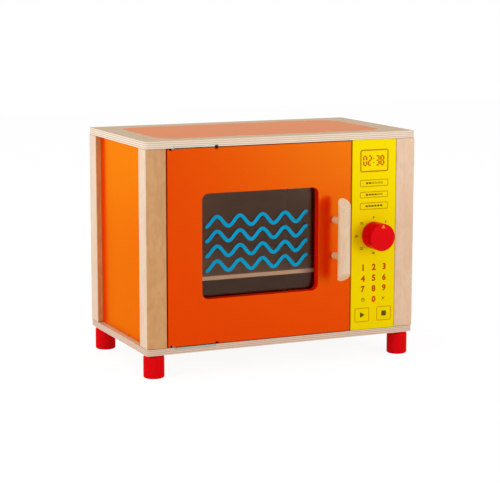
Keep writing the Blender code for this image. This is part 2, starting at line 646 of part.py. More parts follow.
def make_handle(door_axis):
    """A dowel bar with slanted ends on two round pegs, all screwed on from inside the door."""
    bm = bmesh.new()
    ends = []
    for end in (-1, 1):
        ring = []
        for step in range(32):
            angle = 2 * math.pi * step / 32
            y = BAR_RADIUS * math.sin(angle)
            cut_back = BAR_SLANT * (BAR_RADIUS - y) / (2 * BAR_RADIUS)
            height = MIDDLE + end * (BAR_LENGTH / 2 - cut_back)
            ring.append(bm.verts.new((BAR_X + BAR_RADIUS * math.cos(angle), BAR_Y + y, height)))
        bm.faces.new(ring)
        ends.append(ring)
    for step in range(32):
        after = (step + 1) % 32
        bm.faces.new((ends[0][step], ends[0][after], ends[1][after], ends[1][step]))
    bar = new_part("handle_bar", bm, BEECH, door_axis)
    ease(bar, SHELF_EASE)
    cut(bar, "cut_bar_holes", peg_holes(BAR_BACK, (0, -1, 0), HANDLE_SCREW_IN_BAR + SEAT_GAP), door_axis)
    length = FRONT - BAR_BACK + 2 * (PEG_SEAT - SEAT_GAP)
    screw_hole = HANDLE_SCREW_RADIUS + SEAT_GAP
    ring = [(PEG_RADIUS, 0), (PEG_RADIUS, length), (screw_hole, length), (screw_hole, 0)]
    for where, z in zip(("lower", "upper"), PEG_HEIGHTS):
        start = (BAR_X, BAR_BACK - PEG_SEAT + SEAT_GAP, z)
        new_part("handle_peg_" + where, turn(ring, start, (0, 1, 0), 24), BEECH, door_axis)
        screw = round_head_screw((BAR_X, DOOR_BACK + SEAT_GAP, z), (0, -1, 0), HANDLE_SCREW_RADIUS,
                                 HANDLE_SCREW_HEAD, HANDLE_SCREW_HEAD_HEIGHT,
                                 DOOR_BACK - BAR_BACK + HANDLE_SCREW_IN_BAR)
        new_part("handle_screw_" + where, screw, ZINC_STEEL, door_axis)


STRIKE_X = DOOR_RIGHT - STRIKE_WIDTH / 2 - 2 * DOOR_EASE
STRIKE_BACK = DOOR_BACK + SEAT_GAP + STRIKE_THICKNESS
MAGNET_FACE = STRIKE_BACK + SEAT_GAP
BLOCK_FACE = MAGNET_FACE + MAGNET_PROUD


def strike_screw(grow=0):
    return small_screws([(STRIKE_X, STRIKE_BACK, MIDDLE)], (0, -1, 0), STRIKE_SCREW_LENGTH, grow)


def make_catch(door_axis):
    """The magnetic catch: a strike plate on the door, a magnet in a block on the partition."""
    strike = new_part("strike_plate",
                      block((STRIKE_X - STRIKE_WIDTH / 2, DOOR_BACK + SEAT_GAP, MIDDLE - STRIKE_HEIGHT / 2),
                            (STRIKE_X + STRIKE_WIDTH / 2, STRIKE_BACK, MIDDLE + STRIKE_HEIGHT / 2)),
                      ZINC_STEEL, door_axis)
    cut(strike, "cut_strike_hole", strike_screw(SEAT_GAP), door_axis)
    new_part("strike_screw", strike_screw(), ZINC_STEEL, door_axis)
    right = CONTROL_LEFT - SEAT_GAP
    wood = block((right - CATCH_BLOCK_WIDTH, BLOCK_FACE, MIDDLE - CATCH_BLOCK_HEIGHT / 2),
                 (right, BLOCK_FACE + CATCH_BLOCK_DEPTH, MIDDLE + CATCH_BLOCK_HEIGHT / 2))
    catch = new_part("catch_block", wood, BEECH)
    ease(catch, SHELF_EASE)
    seat = (STRIKE_X, BLOCK_FACE, MIDDLE)
    socket = bore(MAGNET_RADIUS + SEAT_GAP, seat, (0, 1, 0), MAGNET_LENGTH - MAGNET_PROUD + SEAT_GAP, 20)
    cut(catch, "cut_magnet", socket)
    disc = [(0, 0), (MAGNET_RADIUS, 0), (MAGNET_RADIUS, MAGNET_LENGTH), (0, MAGNET_LENGTH)]
    new_part("catch_magnet", turn(disc, (STRIKE_X, MAGNET_FACE, MIDDLE), (0, 1, 0), 20), MAGNET_NICKEL)


def make_knob(knob_axis):
    """The turning knob on its spindle, kept in the panel by a washer and a screw behind it."""
    knob_back = FRONT - KNOB_STAND
    knob_front = knob_back - KNOB_LENGTH
    hole = SPINDLE_RADIUS + SEAT_GAP
    hole_end = KNOB_LENGTH - SPINDLE_SEAT - SEAT_GAP
    profile = [(0, 0)] + rim(KNOB_RADIUS, 0, KNOB_LENGTH, KNOB_EASE)
    profile += [(hole, KNOB_LENGTH), (hole, hole_end), (0, hole_end)]
    ahead = (0, 1, 0)
    new_part("knob", turn(profile, (KNOB_X, knob_front, MIDDLE), ahead, 40), RED_LACQUER, knob_axis)
    start = knob_back - SPINDLE_SEAT
    length = CONTROL_BACK - start
    pilot = KNOB_SCREW_RADIUS + SEAT_GAP
    pilot_end = length - KNOB_SCREW_LENGTH
    profile = [(0, 0), (SPINDLE_RADIUS, 0), (SPINDLE_RADIUS, length), (pilot, length), (pilot, pilot_end),
               (0, pilot_end)]
    new_part("knob_spindle", turn(profile, (KNOB_X, start, MIDDLE), ahead, 24), BEECH, knob_axis)
    ring = [(WASHER_RADIUS, 0), (WASHER_RADIUS, WASHER_THICKNESS), (pilot, WASHER_THICKNESS), (pilot, 0)]
    washer = turn(ring, (KNOB_X, CONTROL_BACK + SEAT_GAP, MIDDLE), ahead, 24)
    new_part("knob_washer", washer, NYLON, knob_axis)
    seat = (KNOB_X, CONTROL_BACK + WASHER_THICKNESS + 2 * SEAT_GAP, MIDDLE)
    screw = round_head_screw(seat, (0, -1, 0), KNOB_SCREW_RADIUS, KNOB_SCREW_HEAD, KNOB_SCREW_HEAD_HEIGHT,
                             KNOB_SCREW_LENGTH)
    new_part("knob_screw", screw, ZINC_STEEL, knob_axis)


def joint_axis(name, place):
    """An empty that stands on a joint's axis and carries the pieces that turn about it."""
    axis = bpy.data.objects.new(name, None)
    axis.location = place
    bpy.context.scene.collection.objects.link(axis)
    return axis


def main():
    for old in list(bpy.data.objects):
        bpy.data.objects.remove(old)
    door_axis = joint_axis("door_axis", (PIVOT_X, PIVOT_Y, MIDDLE))
    knob_axis = joint_axis("knob_axis", (KNOB_X, FRONT, MIDDLE))
    make_boards()
    for left, front in CORNERS:
        make_post(left, front)
        make_dowel(left, front)
        make_foot(left, front)
    make_panels()
    make_partition()
    make_shelf()
    make_control_panel()
    make_door(door_axis)
    make_pane(door_axis)
    for end in (1, -1):
        make_hinge(end, door_axis)
    make_handle(door_axis)
    make_catch(door_axis)
    make_knob(knob_axis)


main()
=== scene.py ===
from math import atan, cos, pi, radians, sin

import bmesh
import bpy
from mathutils import Matrix, Vector


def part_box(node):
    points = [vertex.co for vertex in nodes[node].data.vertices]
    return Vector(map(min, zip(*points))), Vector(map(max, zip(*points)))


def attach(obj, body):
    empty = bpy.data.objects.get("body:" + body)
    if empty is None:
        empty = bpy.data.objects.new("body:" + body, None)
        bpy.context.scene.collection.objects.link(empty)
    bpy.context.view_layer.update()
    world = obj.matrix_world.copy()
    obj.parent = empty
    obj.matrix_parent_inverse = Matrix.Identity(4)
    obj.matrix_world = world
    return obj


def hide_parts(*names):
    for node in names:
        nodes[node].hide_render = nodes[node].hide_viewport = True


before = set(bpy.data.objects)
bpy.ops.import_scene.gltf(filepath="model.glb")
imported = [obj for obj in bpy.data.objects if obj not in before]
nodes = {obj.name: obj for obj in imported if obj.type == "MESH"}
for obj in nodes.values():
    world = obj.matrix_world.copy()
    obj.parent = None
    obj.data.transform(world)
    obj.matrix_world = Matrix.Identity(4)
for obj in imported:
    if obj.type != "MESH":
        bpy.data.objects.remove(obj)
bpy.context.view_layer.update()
scene = bpy.context.scene

# Corner posts: four square beech sticks, planed, eased along their edges and given a thin coat of
# clear satin lacquer. The panels stand in grooves ploughed down them.


def linear(code):
    """An sRGB hex colour as linear red, green, blue and full alpha."""
    channels = [int(code[i:i + 2], 16) / 255 for i in (1, 3, 5)]
    return [c / 12.92 if c <= 0.04045 else ((c + 0.055) / 1.055) ** 2.4 for c in channels] + [1]


def join(tree, node, inputs):
    """Give a node its inputs: a value, a hex colour, another node's output, or a node for its first one."""
    for name, value in inputs.items():
        named = [socket for socket in node.inputs if socket.enabled and socket.name == name]
        socket = named[0] if named else node.inputs[name]
        if isinstance(value, bpy.types.Node):
            value = next(output for output in value.outputs if output.enabled)
        if isinstance(value, bpy.types.NodeSocket):
            tree.links.new(value, socket)
        else:
            socket.default_value = linear(value) if isinstance(value, str) else value


def add(tree, kind, inputs, **settings):
    """Add a shader node with its settings and inputs."""
    node = tree.nodes.new("ShaderNode" + kind)
    for name, value in settings.items():
        setattr(node, name, value)
    join(tree, node, inputs)
    return node


def new_finish(name):
    """A new material, its node tree and its shader."""
    material = bpy.data.materials.new(name)
    material.use_nodes = True
    return material, material.node_tree, material.node_tree.nodes["Principled BSDF"]


def dress(material, *names):
    """Give carried-over CAD nodes their finish."""
    for name in names:
        mesh = nodes[name].data
        mesh.materials.clear()
        mesh.materials.append(material)


def stretched(tree, width, along="X", length=None):
    """The place on the piece, counted in a pattern's own width, and its length along one axis (mm)."""
    place = add(tree, "TexCoord", {}).outputs["Object"]
    counts = [1000 / width] * 3
    counts["XYZ".index(along)] = 1000 / (length or width)
    return add(tree, "VectorMath", {0: place, 1: counts}, operation="MULTIPLY")


def lacquered_beech(name, along, pale="#D29C60", dark="#C48C52", lit_axis="X", shine=0.3):
    """Clear lacquered beech with its grain along one axis. The eye sees a slightly cloudy tan with faint long
    streaks about 4 mm apart and short darker ray flecks. The faces that look along one given axis get a paler,
    pinker tone, which is painted light."""
    material, tree, shader = new_finish(name)
    streaks = add(tree, "TexNoise", {"Vector": stretched(tree, 4, along, 90), "Scale": 1.0, "Detail": 3.0,
                                     "Distortion": 0.4})
    clouds = add(tree, "TexNoise", {"Vector": stretched(tree, 14, along, 30), "Scale": 1.0, "Distortion": 1.2})
    # Real ray flecks are about 0.3 mm wide. They are drawn 1.1 mm wide here so that they still show.
    flecks = add(tree, "TexNoise", {"Vector": stretched(tree, 1.1, along, 5), "Scale": 1.0, "Detail": 1.0})
    pores = add(tree, "TexNoise", {"Vector": stretched(tree, 0.6, along, 12), "Scale": 1.0})
    tone = add(tree, "MapRange", {"Value": streaks, "From Min": 0.32, "From Max": 0.68})
    spread = add(tree, "MapRange", {"Value": clouds, "From Min": 0.35, "From Max": 0.65, "To Max": 0.75})
    mix = add(tree, "Math", {0: tone, 1: 0.35, 2: spread}, operation="MULTIPLY_ADD")
    sawn = add(tree, "Mix", {"Factor": mix, "A": pale, "B": dark}, data_type="RGBA")
    # A paler, pinker tone for the faces that look along one axis: painted light on the sides the lamps light
    # most.
    split = add(tree, "Mix", {"Factor": mix, "A": "#E4C8AC", "B": "#DCBA98"}, data_type="RGBA")
    turn = add(tree, "SeparateXYZ", {"Vector": add(tree, "TexCoord", {}).outputs["Normal"]}).outputs[lit_axis]
    facing = add(tree, "Math", {0: turn}, operation="ABSOLUTE")
    lit_side_share = add(tree, "MapRange", {"Value": facing, "From Min": 0.3, "From Max": 0.8})
    wood = add(tree, "Mix", {"Factor": lit_side_share, "A": sawn, "B": split}, data_type="RGBA")
    spots = add(tree, "MapRange", {"Value": flecks, "From Min": 0.6, "From Max": 0.72, "To Max": 0.28})
    colour = add(tree, "Mix", {"Factor": spots, "A": wood, "B": "#C49A6E"}, data_type="RGBA")
    gloss = add(tree, "MapRange", {"Value": streaks, "To Min": shine, "To Max": shine + 0.1})
    relief = add(tree, "Bump", {"Height": pores, "Strength": 0.35, "Distance": 0.0001})
    join(tree, shader, {"Base Color": colour, "Roughness": gloss, "Normal": relief, "IOR": 1.5})
    return material


upright_beech = lacquered_beech("lacquered_beech_left", "Z")
# The right posts are drawn paler and pinker than the left ones: painted light, the key lamp's sheen on the
# right of the front.
lit_right_beech = lacquered_beech("lacquered_beech_right_painted_light", "Z", "#E2BE9E", "#DAB28C")
corners = [(end, side) for end in ("front", "back") for side in ("left", "right")]
for side, beech in (("left", upright_beech), ("right", lit_right_beech)):
    dress(beech, f"post_front_{side}", f"post_back_{side}")

# Corner dowels: plain 8 mm beech pegs with chamfered tips, glued into the post tops and the top board.
# They are hidden once the cabinet is glued up, and have the posts' own grain.

dress(upright_beech, *[f"dowel_{end}_{side}" for end, side in corners])

# Top and bottom boards: birch plywood, sawn with small round corners, sanded and clear lacquered. The
# top one has an orange field sprayed through a mask. The hinge leaves lie in mortises in both.


def plate(outlines, near, far, upright=False):
    """Extrude an outline, and any hole after it, in z, or in y where it stands upright."""
    bm = bmesh.new()
    edges = []
    for outline in outlines:
        points = [bm.verts.new((u, near, v) if upright else (u, v, near)) for u, v in outline]
        edges += [bm.edges.new((points[i - 1], points[i])) for i in range(len(points))]
    bmesh.ops.triangle_fill(bm, use_beauty=True, use_dissolve=False, edges=edges)
    grown = bmesh.ops.extrude_face_region(bm, geom=bm.faces[:])["geom"]
    shift = Vector((0, far - near, 0) if upright else (0, 0, far - near))
    bmesh.ops.translate(bm, verts=[item for item in grown if isinstance(item, bmesh.types.BMVert)], vec=shift)
    return bm


def round_rectangle(low, high, radius, steps=12):
    """Points of a rectangle with round corners, anticlockwise."""
    points = []
    turns = ((high[0] - radius, high[1] - radius), (low[0] + radius, high[1] - radius),
             (low[0] + radius, low[1] + radius), (high[0] - radius, low[1] + radius))
    for quarter, (x, y) in enumerate(turns):
        for step in range(steps + 1):
            angle = (quarter + step / steps) * pi / 2
            points.append((x + radius * cos(angle), y + radius * sin(angle)))
    return points


def block(low, high):
    """A box between two opposite corners."""
    bm = bmesh.new()
    middle, size = (Vector(low) + Vector(high)) / 2, Vector(high) - Vector(low)
    bmesh.ops.create_cube(bm, size=1, matrix=Matrix.Translation(middle) @ Matrix.Diagonal(size).to_4x4())
    return bm


def turned(profile, start, direction, segments=64):
    """Turn (radius, height) points about an axis. A profile with no point on the axis is a ring."""
    bm = bmesh.new()
    spin = Vector((0, 0, 1)).rotation_difference(Vector(direction)).to_matrix()
    rings = []
    for radius, height in profile:
        ring = []
        for step in range(segments if radius else 1):
            angle = 2 * pi * step / segments
            point = Vector((radius * cos(angle), radius * sin(angle), height))
            ring.append(bm.verts.new(Vector(start) + spin @ point))
        rings.append(ring)
    follow = rings[1:] if len(rings[0]) == 1 else rings[1:] + rings[:1]
    for ring, after in zip(rings, follow):
        for step in range(segments):
            face = [ring[step % len(ring)], ring[(step + 1) % segments % len(ring)],
                    after[(step + 1) % segments % len(after)], after[step % len(after)]]
            bm.faces.new(list(dict.fromkeys(face)))
    return bm


def bore(radius, start, direction, length):
    """A plain round hole, for cutting with."""
    return turned([(0, 0), (radius, 0), (radius, length), (0, length)], start, direction, 32)


def bare_object(name, bm):
    """A mesh built in place, as an object."""
    bmesh.ops.recalc_face_normals(bm, faces=bm.faces)
    mesh = bpy.data.meshes.new(name)
    bm.to_mesh(mesh)
    bm.free()
    made = bpy.data.objects.new(name, mesh)
    scene.collection.objects.link(made)
    return made


def make_piece(name, bm, finishes, body, stands_for=None, ease=0, cuts=()):
    """Make a piece of a mesh built in place: ease its edges, cut the holes out, and let it ride."""
    piece = bare_object(name, bm)
    for finish in finishes:
        piece.data.materials.append(finish)
    if ease:
        bevel = piece.modifiers.new("eased", "BEVEL")
        bevel.width = ease
        bevel.segments = 3
        bevel.limit_method = "ANGLE"
        bevel.angle_limit = radians(40)
    tools = [bare_object("tool", cut) for cut in cuts]
    for tool in tools:
        boolean = piece.modifiers.new("cut", "BOOLEAN")
        boolean.operation = "DIFFERENCE"
        boolean.solver = "EXACT"
        boolean.object = tool
    settled = bpy.data.meshes.new_from_object(piece.evaluated_get(bpy.context.evaluated_depsgraph_get()))
    piece.modifiers.clear()
    rough, piece.data = piece.data, settled
    for mesh in [rough] + [tool.data for tool in tools]:
        bpy.data.meshes.remove(mesh)
    settled.name = name
    settled.shade_smooth()
    settled.set_sharp_from_angle(angle=radians(32))
    weighted = piece.modifiers.new("flat faces stay flat", "WEIGHTED_NORMAL")
    weighted.keep_sharp = True
    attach(piece, body)
    if stands_for:
        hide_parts(stands_for)
    return piece


def birch_plywood(name, across, start, ply, along, pale="#EBDAC2", streak="#DFC7A5", core="#BE9769",
                  long_ply="#F4E2CF", face_roughness=0.3):
    """Clear lacquered birch plywood: smooth cream veneer with broad soft streaks on its faces, and the
    crossed plies with their thin dark glue lines wherever the edge shows."""
    material, tree, shader = new_finish(name)
    place = add(tree, "TexCoord", {}).outputs
    turn = add(tree, "SeparateXYZ", {"Vector": place["Normal"]}).outputs[across]
    facing = add(tree, "Math", {0: turn}, operation="ABSOLUTE")
    edge = add(tree, "Math", {0: facing, 1: 0.8}, operation="LESS_THAN")
    figure = add(tree, "TexNoise", {"Vector": stretched(tree, 9, along, 120), "Scale": 1.0, "Detail": 3.0,
                                    "Distortion": 0.8})
    fibres = add(tree, "TexNoise", {"Vector": stretched(tree, 0.9, along, 16), "Scale": 1.0})
    soft = add(tree, "MapRange", {"Value": figure, "From Min": 0.35, "From Max": 0.7, "To Max": 0.8})
    fine = add(tree, "MapRange", {"Value": fibres, "From Min": 0.45, "From Max": 0.75, "To Max": 0.3})
    tone = add(tree, "Math", {0: soft, 1: fine}, operation="MAXIMUM")
    veneer = add(tree, "Mix", {"Factor": tone, "A": pale, "B": streak}, data_type="RGBA")
    depth = add(tree, "SeparateXYZ", {"Vector": place["Object"]}).outputs[across]
    count = add(tree, "MapRange", {"Value": depth, "From Min": start, "From Max": start + ply}, clamp=False)
    ends = add(tree, "Math", {0: count, 1: 0.5}, operation="PINGPONG")
    layer = add(tree, "Math", {0: count, 1: 2.0}, operation="FLOORED_MODULO")
    crossed = add(tree, "Math", {0: layer, 1: 1.0}, operation="GREATER_THAN")
    # The end grain's pores are about 0.1 mm across. They are drawn 0.5 mm across here so that they show.
    pores = add(tree, "TexNoise", {"Vector": stretched(tree, 0.5), "Scale": 1.0, "Detail": 1.0})
    speckle = add(tree, "MapRange", {"Value": pores, "From Min": 0.35, "From Max": 0.7, "To Min": 0.4,
                                     "To Max": 0.9})
    dark = add(tree, "Math", {0: crossed, 1: speckle}, operation="MULTIPLY")
    layers = add(tree, "Mix", {"Factor": dark, "A": long_ply, "B": core}, data_type="RGBA")
    glue = add(tree, "MapRange", {"Value": ends, "From Max": 0.1, "To Min": 0.65, "To Max": 0.0})
    glued = add(tree, "Mix", {"Factor": glue, "A": layers, "B": "#94744C"}, data_type="RGBA")
    colour = add(tree, "Mix", {"Factor": edge, "A": veneer, "B": glued}, data_type="RGBA")
    gloss = add(tree, "MapRange", {"Value": edge, "To Min": face_roughness, "To Max": 0.5})
    relief = add(tree, "Bump", {"Height": fibres, "Strength": 0.25, "Distance": 0.0001})
    join(tree, shader, {"Base Color": colour, "Roughness": gloss, "Normal": relief, "IOR": 1.5})
    return material


def sprayed_lacquer(name, colour, shade, sheen, raking, roughness):
    """Opaque pigmented lacquer, sprayed and left to flow out. The eye sees an even, strong colour with the
    faint waves of a sprayed coat, a few mm across, under a gloss that mirrors the room in a tone of its
    own, paler at a raking angle."""
    material, tree, shader = new_finish(name)
    waves = add(tree, "TexNoise", {"Vector": stretched(tree, 3.5), "Scale": 1.0})
    clouds = add(tree, "TexNoise", {"Vector": stretched(tree, 60), "Scale": 1.0, "Detail": 1.0})
    mixed = add(tree, "Mix", {"Factor": clouds, "A": colour, "B": shade}, data_type="RGBA")
    gloss = add(tree, "MapRange", {"Value": clouds, "To Min": roughness - 0.01, "To Max": roughness + 0.01})
    peel = add(tree, "Bump", {"Height": waves, "Strength": 0.12, "Distance": 0.00005})
    join(tree, shader, {"Base Color": mixed, "Roughness": gloss, "Normal": peel, "Specular IOR Level": 0.0})
    share = add(tree, "Fresnel", {"IOR": 1.62, "Normal": peel})
    slant = add(tree, "MapRange", {"Value": share, "From Min": 0.2, "From Max": 0.4})
    tint = add(tree, "Mix", {"Factor": slant, "A": sheen, "B": raking}, data_type="RGBA")
    gleam = add(tree, "BsdfAnisotropic", {"Color": tint, "Roughness": gloss, "Normal": peel})
    coated = add(tree, "MixShader", {0: share, 1: shader, 2: gleam})
    join(tree, tree.nodes["Material Output"], {"Surface": coated})
    return material


orange_lacquer = sprayed_lacquer("sprayed_orange_lacquer", "#E81400", "#E41000", "#E8F430", "#F4C8A0", 0.295)
masked_lacquer = sprayed_lacquer("sprayed_orange_field", "#EE2800", "#E92200", "#E2BE92", "#E2BE92", 0.26)
seat_gap = 0.0003
board_corner, board_ease = 0.004, 0.0006
field_side_inset, field_end_inset, field_corner = 0.034, 0.0295, 0.030
break_out_radius, break_out_depth = 0.0027, 0.012
low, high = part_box("top_board")
# The top face's veneer is drawn darker and browner than the other boards': painted shade on the top.
shaded_top_plywood = birch_plywood("birch_plywood_top_painted_shade", "Z", low.z, (high.z - low.z) / 7, "X", "#C8A472", "#B8925E",
                            face_roughness=0.42)
top_board = plate([round_rectangle(low, high, board_corner)], low.z, high.z)
lid = [face for face in top_board.faces if face.calc_center_median().z > high.z - board_ease]
bmesh.ops.delete(top_board, geom=lid, context="FACES")
rim = [edge for edge in top_board.edges if edge.is_boundary]
mask = round_rectangle((low.x + field_side_inset, low.y + field_end_inset),
                       (high.x - field_side_inset, high.y - field_end_inset), field_corner, 20)
points = [top_board.verts.new((x, y, rim[0].verts[0].co.z)) for x, y in mask]
mask_edges = [top_board.edges.new((points[i - 1], points[i])) for i in range(len(points))]
bmesh.ops.triangle_fill(top_board, use_beauty=True, use_dissolve=False, edges=rim + mask_edges)
filled = bmesh.ops.triangle_fill(top_board, use_beauty=True, use_dissolve=False, edges=mask_edges)["geom"]
for face in filled:
    if isinstance(face, bmesh.types.BMFace):
        face.material_index = 1


def leaf_outline(node, gap=0):
    """A hinge leaf's plan, round at its pivot end, with a gap round it where it is a mortise's."""
    low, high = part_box(node)
    middle, half = (low.y + high.y) / 2, (high.y - low.y) / 2
    outline = [(high.x + gap, middle - half - gap), (high.x + gap, middle + half + gap)]
    for step in range(25):
        angle = pi / 2 + step / 24 * pi
        outline.append((low.x + half + (half + gap) * cos(angle), middle + (half + gap) * sin(angle)))
    return outline


def leaf_pocket(node):
    """The mortise that a hinge leaf lies in. A board's breaks out through its front edge."""
    low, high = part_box(node)
    return plate([leaf_outline(node, seat_gap)], low.z - seat_gap, high.z + seat_gap)


leaf_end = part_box("hinge_frame_leaf_top")[1].x
break_out = bore(break_out_radius, (leaf_end + break_out_radius, low.y - seat_gap, low.z), (0, 1, 0),
                 break_out_depth)
make_piece("top_board_plywood", top_board, [shaded_top_plywood, masked_lacquer], "cabinet",
           "top_board", board_ease, [leaf_pocket("hinge_frame_leaf_top"), break_out])
low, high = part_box("bottom_board")
# The bottom board's plies are drawn darker and warmer than the top board's.
bottom_plywood = birch_plywood("birch_plywood_bottom", "Z", low.z, (high.z - low.z) / 7, "X", "#DCC8AC",
                               "#CEB48E", "#B0855B", "#E2C8B5")
make_piece("bottom_board_plywood", plate([round_rectangle(low, high, board_corner)], low.z, high.z),
           [bottom_plywood], "cabinet", "bottom_board", board_ease,
           [leaf_pocket("hinge_frame_leaf_bottom")])

# Side and back panels: 6 mm birch boards in the posts' grooves. Their outer faces are sprayed orange, drawn a
# little brighter and redder than the door as painted light for the strong lamp on the left side, and the faces
# inside the oven are drawn dark brown.

panel_ease, panel_ply, inner_veneer = 0.0004, 0.002, 1
# The faces inside the oven are drawn as a dark brown plywood.
inner_brown, inner_brown_streak = "#86643F", "#76552F"
# A brighter, redder orange than the door's: painted light on the panels.
lit_panel_lacquer = sprayed_lacquer("sprayed_orange_panel_painted_light", "#EE1200", "#EA0E00", "#E8EE28", "#F4C8A0", 0.295)
for node, inward, grain in (("side_panel_left", (1, 0, 0), "Z"), ("side_panel_right", (-1, 0, 0), "Z"),
                            ("back_panel", (0, -1, 0), "X")):
    low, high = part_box(node)
    across = "XYZ"[[abs(part) for part in inward].index(1)]
    start = low["XYZ".index(across)]
    veneer = birch_plywood("dark_plywood_" + node, across, start, panel_ply, grain, inner_brown, inner_brown_streak)
    board = block(low, high)
    board.normal_update()
    for face in board.faces:
        if face.normal.dot(Vector(inward)) > 0.5:
            face.material_index = inner_veneer
    make_piece("sprayed_" + node, board, [lit_panel_lacquer, veneer], "cabinet", node, panel_ease)

# Partition and shelf: birch plywood inside the oven, the shelf resting on a beech batten at each side. Both
# are sawn square and sanded. The partition is drawn the same dark brown as the panels' inner faces, and the
# shelf is lacquered.

low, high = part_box("partition")
ply = (high.x - low.x) / 5
dress(birch_plywood("dark_plywood_partition", "X", low.x, ply, "Z", inner_brown, inner_brown_streak), "partition")
low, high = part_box("shelf")
# The shelf's crossed plies are drawn as pale as its long ones: an even edge, and partly painted light on the
# front edge seen through the window.
dress(birch_plywood("birch_plywood_shelf", "Z", low.z, (high.z - low.z) / 3, "X", core="#F6E6CE"), "shelf")
deep_beech = lacquered_beech("lacquered_beech_deep", "Y", lit_axis="Z")
dress(deep_beech, "shelf_batten_left", "shelf_batten_right")

# Feet: four turned beech discs, sprayed with gloss red lacquer. A zinc-plated cross-head screw sits in a
# counterbore under each and goes up through the bottom board into the post.


def rounded_side(radius, low, high, width, steps=6, top_width=0):
    """Profile points up a turned piece's outside, with both its rims rounded, the top one by its own width
    where that is given."""
    points = []
    turns = [step / steps * pi / 2 for step in range(steps + 1)]
    for turn in turns:
        points.append((radius - width + width * sin(turn), low + width - width * cos(turn)))
    width = top_width or width
    for turn in reversed(turns):
        points.append((radius - width + width * sin(turn), high - width + width * cos(turn)))
    return points


def cross_recess(crown, direction, size, depth):
    """The tapered cross that a screwdriver fits, for cutting into a screw's head."""
    arm, half = size / 2, size * 0.15
    plan = [(arm, half), (half, half), (half, arm), (-half, arm), (-half, half), (-arm, half),
            (-arm, -half), (-half, -half), (-half, -arm), (half, -arm), (half, -half), (arm, -half)]
    spin = Vector((0, 0, 1)).rotation_difference(Vector(direction)).to_matrix()
    bm = bmesh.new()
    rings = []
    for height, share in ((-depth / 2, 1.2), (depth, 0.5)):
        rings.append([bm.verts.new(Vector(crown) + spin @ Vector((x * share, y * share, height)))
                      for x, y in plan])
        bm.faces.new(rings[-1])
    for i in range(len(plan)):
        bm.faces.new((rings[0][i - 1], rings[0][i], rings[1][i], rings[1][i - 1]))
    return bm


def zinc_plate(name):
    """Steel with a bright zinc plating: a pale blue-grey metal, a little cloudy, with fine rubbed marks."""
    material, tree, shader = new_finish(name)
    cloud = add(tree, "TexNoise", {"Vector": stretched(tree, 2.5), "Scale": 1.0, "Detail": 3.0})
    rubs = add(tree, "TexNoise", {"Vector": stretched(tree, 0.3, "X", 6), "Scale": 1.0})
    colour = add(tree, "Mix", {"Factor": cloud, "A": "#B4B6AA", "B": "#96988C"}, data_type="RGBA")
    gloss = add(tree, "MapRange", {"Value": rubs, "To Min": 0.24, "To Max": 0.42})
    relief = add(tree, "Bump", {"Height": rubs, "Strength": 0.2, "Distance": 0.00003})
    join(tree, shader, {"Base Color": colour, "Metallic": 1.0, "Roughness": gloss, "Normal": relief})
    return material


zinc = zinc_plate("zinc_plated_steel")


def screw(node, body, direction, shank, head, head_height, flat=False):
    """A cross-head wood screw in a carried-over screw's place. A flat head lies in its seat, and a round
    one stands on it."""
    low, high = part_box(node)
    way = Vector(direction)
    middle = (low + high) / 2
    reach = abs((high - low).dot(way)) / 2
    crown = middle - way * reach
    if flat:
        profile = [(0, 0), (head, 0), (shank, head_height)]
    else:
        profile = [(0, 0), (head * 0.5, head_height * 0.02), (head * 0.7, head_height * 0.14),
                   (head * 0.85, head_height * 0.32), (head * 0.96, head_height * 0.5),
                   (head, head_height * 0.7), (head, head_height), (shank, head_height)]
    profile += [(shank, 2 * reach - shank), (0, 2 * reach)]
    recess = cross_recess(crown, direction, head * 1.1, head_height * 0.7)
    make_piece("cross_head_" + node, turned(profile, crown, direction, 40), [zinc], body, node,
               cuts=[recess])


def middle_of(node, **given):
    """The middle of a node's box, with any coordinate that is given in its place."""
    low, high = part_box(node)
    return Vector([given.get(axis, (getattr(low, axis) + getattr(high, axis)) / 2) for axis in "xyz"])


red_lacquer = sprayed_lacquer("sprayed_red_lacquer", "#DC0810", "#D4040C", "#FF3434", "#FFB8B0", 0.24)
foot_ease, foot_shoulder, counterbore, counterbore_depth, screw_hole = 0.0025, 0.0055, 0.0055, 0.012, 0.0025
for end, side in corners:
    node = f"foot_{end}_{side}"
    low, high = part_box(node)
    height = high.z - low.z
    profile = rounded_side((high.x - low.x) / 2, 0, height, foot_ease, 6, foot_shoulder)
    profile += [(screw_hole, height), (screw_hole, counterbore_depth), (counterbore, counterbore_depth),
                (counterbore, 0)]
    make_piece("turned_" + node, turned(profile, middle_of(node, z=low.z), (0, 0, 1)), [red_lacquer],
               "cabinet", node)
    screw(f"foot_screw_{end}_{side}", "cabinet", (0, 0, 1), shank=0.0022, head=0.0042, head_height=0.0028)

# Control panel: a birch board sprayed yellow, glued between the partition and a beech cleat on the right
# post, and printed with its clock, buttons, keys and dial numbers.

yellow_lacquer = sprayed_lacquer("sprayed_yellow_lacquer", "#F1D500", "#EDCF00", "#DCD620", "#FFF0B0", 0.30)
dress(yellow_lacquer, "control_panel")
dress(upright_beech, "panel_cleat")
panel_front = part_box("control_panel")[0].y
body_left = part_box("top_board")[0].x
ink_film = 0.0001


def printed_ink(name, colour, thin):
    """Screen printed ink. The eye sees a matt film, a little thinner and paler here and there."""
    material, tree, shader = new_finish(name)
    grain = add(tree, "TexNoise", {"Vector": stretched(tree, 0.7), "Scale": 1.0})
    patches = add(tree, "MapRange", {"Value": grain, "From Min": 0.4, "From Max": 0.75, "To Max": 0.6})
    mixed = add(tree, "Mix", {"Factor": patches, "A": colour, "B": thin}, data_type="RGBA")
    relief = add(tree, "Bump", {"Height": grain, "Strength": 0.2, "Distance": 0.00004})
    join(tree, shader, {"Base Color": mixed, "Roughness": 0.5, "Normal": relief, "Specular IOR Level": 0.04})
    return material


